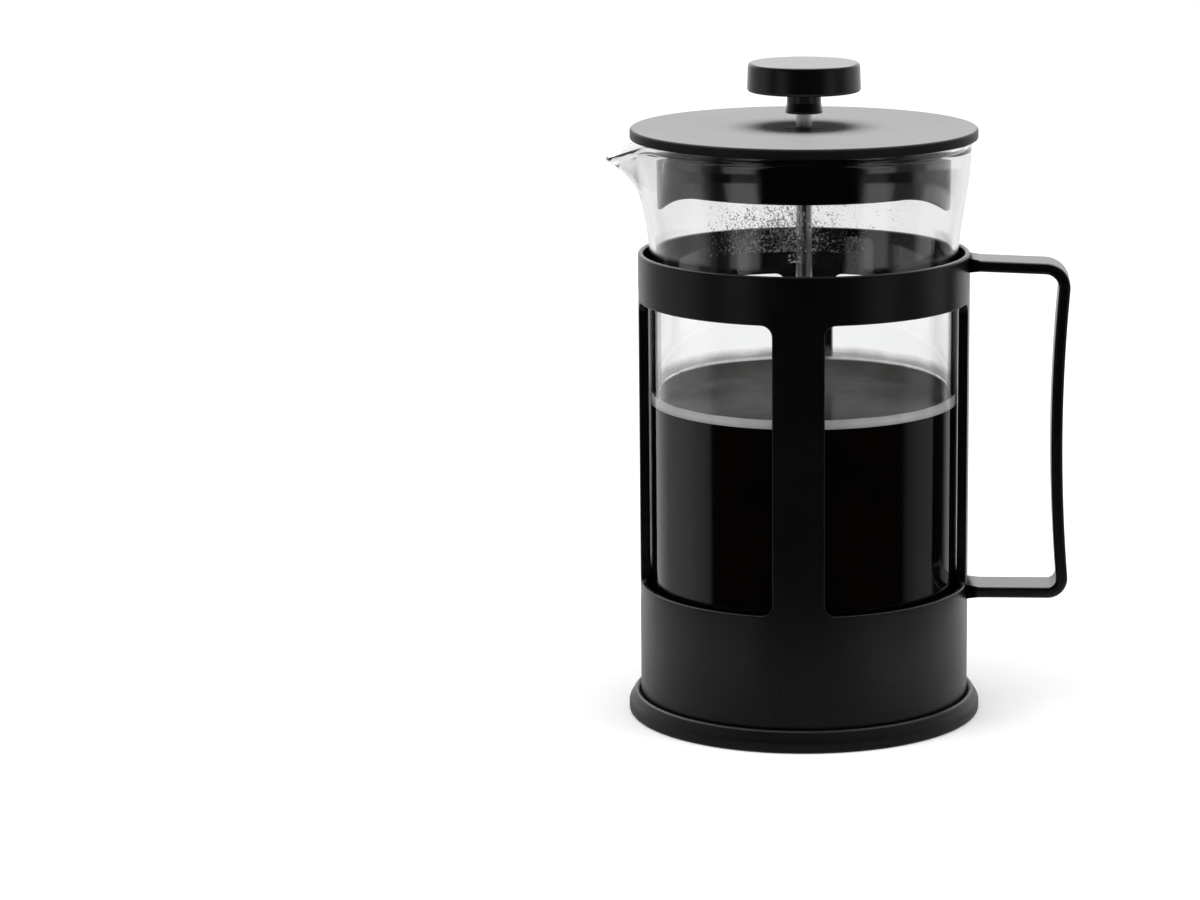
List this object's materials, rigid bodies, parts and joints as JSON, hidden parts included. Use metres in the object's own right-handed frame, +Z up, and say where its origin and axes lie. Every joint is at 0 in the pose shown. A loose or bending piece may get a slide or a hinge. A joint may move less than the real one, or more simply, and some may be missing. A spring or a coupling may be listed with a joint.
{
  "type": "french press",
  "caption": "Cylindrical glass press pot in a black holder with windows, strap handle, pouring spout, flat lid and a disc-knobbed plunger that carries a spring-edged filter.",
  "frame": {"origin": "on the table, midway between the spout's tip and the outside of the handle, and midway from front to back; the beaker's axis is 10.4 mm towards the spout", "axes": "+Z up along the beaker's axis, +X towards the handle, -X towards the spout"},
  "size_m": [0.145, 0.1108, 0.205],
  "materials": {
    "black_plastic": "satin",
    "foot_plastic": "satin",
    "bushing_plastic": "matte",
    "clear_glass": "clear, polished",
    "polished_steel": "polished",
    "sheet_steel": "satin",
    "spring_steel": "bright drawn wire",
    "woven_steel": "woven wire",
    "brass_insert": "turned"
  },
  "bodies": {
    "holder": {"holder_frame": "black_plastic", "foot_ring": "foot_plastic", "handle": "black_plastic"},
    "beaker": {"glass_beaker": "clear_glass"},
    "lid_guide": {"rod_bushing": "bushing_plastic", "bushing_clip": "spring_steel"},
    "lid": {"lid_cover": "black_plastic", "lid_skirt": "black_plastic"},
    "plunger": {"knob": "black_plastic", "knob_insert": "brass_insert", "plunger_rod": "polished_steel", "rod_collar": "polished_steel", "collar_washer": "polished_steel", "spring_plate": "sheet_steel", "edge_spring": "spring_steel", "filter_mesh": "woven_steel", "cross_plate": "sheet_steel", "hub_nut": "polished_steel"}
  },
  "joints": [
    {"name": "beaker_lift", "type": "slide", "parent": "holder", "child": "beaker", "axis": [0, 0, 1], "range_m": [0, 0.15]},
    {"name": "lid_lift", "type": "slide", "parent": "beaker", "child": "lid_guide", "axis": [0, 0, 1], "range_m": [0, 0.18]},
    {"name": "lid_turn", "type": "hinge", "parent": "lid_guide", "child": "lid", "pos_m": [-0.0104, 0, 0.1834], "axis": [0, 0, 1], "continuous": true},
    {"name": "plunger_slide", "type": "slide", "parent": "lid_guide", "child": "plunger", "axis": [0, 0, 1], "range_m": [-0.0043, 0.138]}
  ]
}
